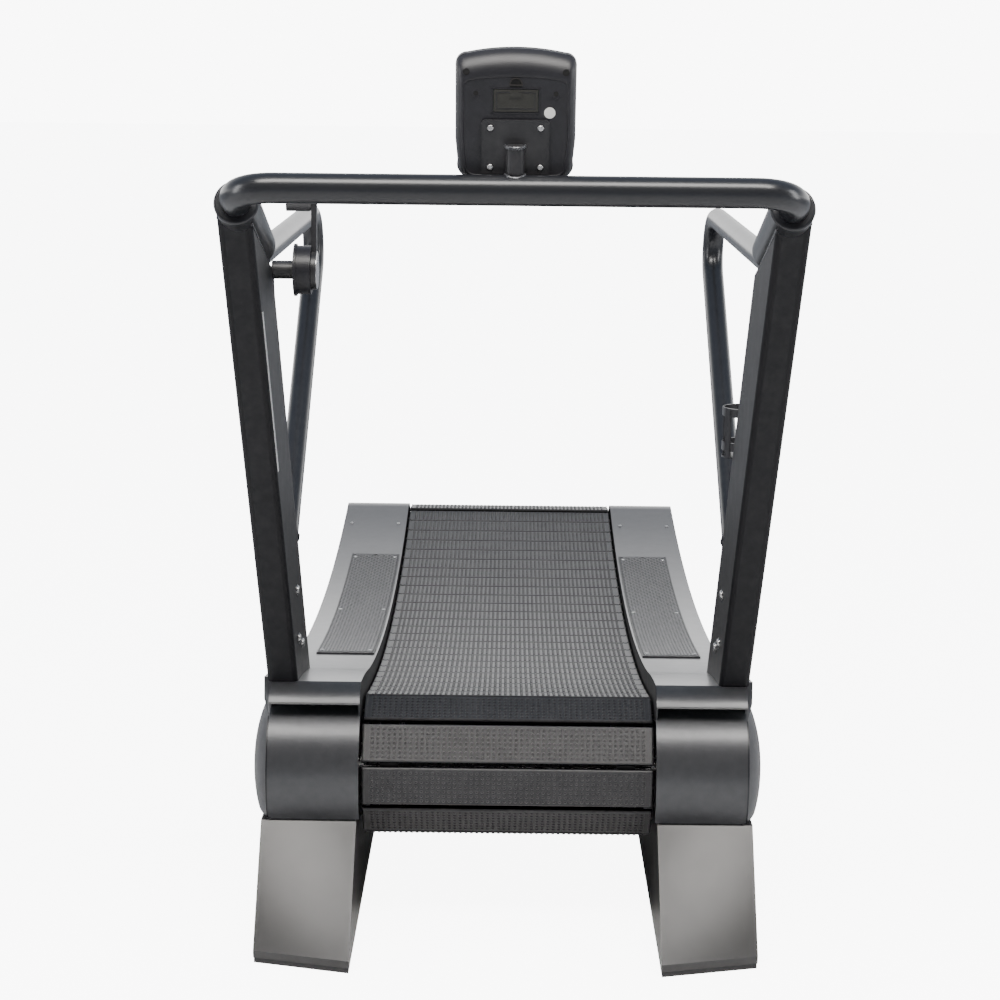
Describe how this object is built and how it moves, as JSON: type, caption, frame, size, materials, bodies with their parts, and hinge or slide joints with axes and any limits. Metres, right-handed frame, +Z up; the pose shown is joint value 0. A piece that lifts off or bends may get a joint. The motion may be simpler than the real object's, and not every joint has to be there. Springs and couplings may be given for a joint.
{
  "type": "curved manual treadmill",
  "caption": "Curved manual treadmill with an endless slat deck on guide bearings, leaning uprights, looped handrails, crossbar console and magnetic resistance lever.",
  "frame": {"origin": "floor level, under the middle of the whole machine", "axes": "+Z up, X across the machine with the resistance lever at -X, console end at -Y, runner steps on from +Y"},
  "size_m": [0.8512, 2.4451, 1.4436],
  "materials": {
    "frame_paint": "satin black powder coat",
    "body_paint": "satin charcoal metallic paint",
    "slat_aluminium": "extruded, dark anodised",
    "tread_rubber": "moulded matte rubber",
    "grip_rubber": "diamond pattern rubber",
    "steel": "zinc plated",
    "pulley_metal": "turned",
    "cast_wheel": "machined rim",
    "dome_plastic": "moulded, fine texture",
    "console_plastic": "moulded, fine texture",
    "lens": "smoked window",
    "board": "circuit board with display",
    "button_rubber": "soft moulded",
    "battery": "plain battery sleeve",
    "mount_steel": "brushed plate",
    "magnet": "steel yoke with magnets",
    "cage_metal": "black coated steel"
  },
  "bodies": {
    "frame": {"batteries": "battery", "bearing_blocks": "pulley_metal", "bottle_cage": "cage_metal", "caliper_guide": "frame_paint", "circuit_board": "board", "console_back": "console_plastic", "console_front": "console_plastic", "console_lens": "lens", "console_mount": "mount_steel", "cover_screws": "steel", "cross_members": "frame_paint", "crossbar": "body_paint", "drive_belts": "tread_rubber", "drum_cover_left": "body_paint", "drum_cover_right": "body_paint", "end_dome_left": "dome_plastic", "end_dome_right": "dome_plastic", "front_leg_left": "body_paint", "front_leg_right": "body_paint", "grip_pad_left": "grip_rubber", "grip_pad_right": "grip_rubber", "guide_bearings": "steel", "handrail_left": "body_paint", "handrail_right": "body_paint", "knuckle_left": "body_paint", "knuckle_right": "body_paint", "lever_bracket": "frame_paint", "lever_housing": "console_plastic", "rear_leg_left": "body_paint", "rear_leg_right": "body_paint", "rubber_feet": "tread_rubber", "side_panel_left": "body_paint", "side_panel_right": "body_paint", "side_rail_left": "frame_paint", "side_rail_right": "frame_paint", "slat_treads": "tread_rubber", "slats_deck": "slat_aluminium", "slats_front_turn": "slat_aluminium", "slats_rear_turn": "slat_aluminium", "slats_return": "slat_aluminium", "support_rails": "frame_paint", "top_cover_left": "body_paint", "top_cover_right": "body_paint", "upright_bolts": "steel", "upright_left": "body_paint", "upright_right": "body_paint", "upright_stubs": "frame_paint"},
    "front_drum_set": {"front_axle": "steel", "front_pulleys": "pulley_metal", "flywheel": "cast_wheel"},
    "rear_drum_set": {"rear_axle": "steel", "rear_pulleys": "pulley_metal"},
    "resistance_lever": {"brake_lever": "mount_steel", "lever_grip": "button_rubber"},
    "magnet_yoke": {"magnet_caliper": "magnet"},
    "battery_hatch": {"battery_door": "console_plastic"},
    "button_a": {"button_1": "button_rubber"},
    "button_b": {"button_2": "button_rubber"},
    "button_c": {"button_3": "button_rubber"},
    "button_d": {"button_4": "button_rubber"}
  },
  "joints": [
    {"name": "front_drum_spin", "type": "hinge", "parent": "frame", "child": "front_drum_set", "pos_m": [0, -0.611, 0.262], "axis": [1, 0, 0], "continuous": true},
    {"name": "rear_drum_spin", "type": "hinge", "parent": "frame", "child": "rear_drum_set", "pos_m": [0, 1.101, 0.272], "axis": [1, 0, 0], "continuous": true},
    {"name": "lever_turn", "type": "hinge", "parent": "frame", "child": "resistance_lever", "pos_m": [-0.318, -0.836, 1.11], "axis": [-1, 0, 0], "range_deg": [-25, 60]},
    {"name": "yoke_slide", "type": "slide", "parent": "frame", "child": "magnet_yoke", "axis": [0, -1, 0], "range_m": [-0.006, 0.0142]},
    {"name": "hatch_pull", "type": "slide", "parent": "frame", "child": "battery_hatch", "axis": [0, -0.9781, -0.2079], "range_m": [0, 0.02]},
    {"name": "press_a", "type": "slide", "parent": "frame", "child": "button_a", "axis": [0, -0.9781, -0.2079], "range_m": [0, 0.0012], "stiffness_N_per_m": 500},
    {"name": "press_b", "type": "slide", "parent": "frame", "child": "button_b", "axis": [0, -0.9781, -0.2079], "range_m": [0, 0.0012], "stiffness_N_per_m": 500},
    {"name": "press_c", "type": "slide", "parent": "frame", "child": "button_c", "axis": [0, -0.9781, -0.2079], "range_m": [0, 0.0012], "stiffness_N_per_m": 500},
    {"name": "press_d", "type": "slide", "parent": "frame", "child": "button_d", "axis": [0, -0.9781, -0.2079], "range_m": [0, 0.0012], "stiffness_N_per_m": 500}
  ],
  "couplings": [
    {"joint": "rear_drum_spin", "follows": "front_drum_spin", "ratio": 1.1304},
    {"joint": "yoke_slide", "follows": "lever_turn", "m_per_rad": 0.0135}
  ]
}
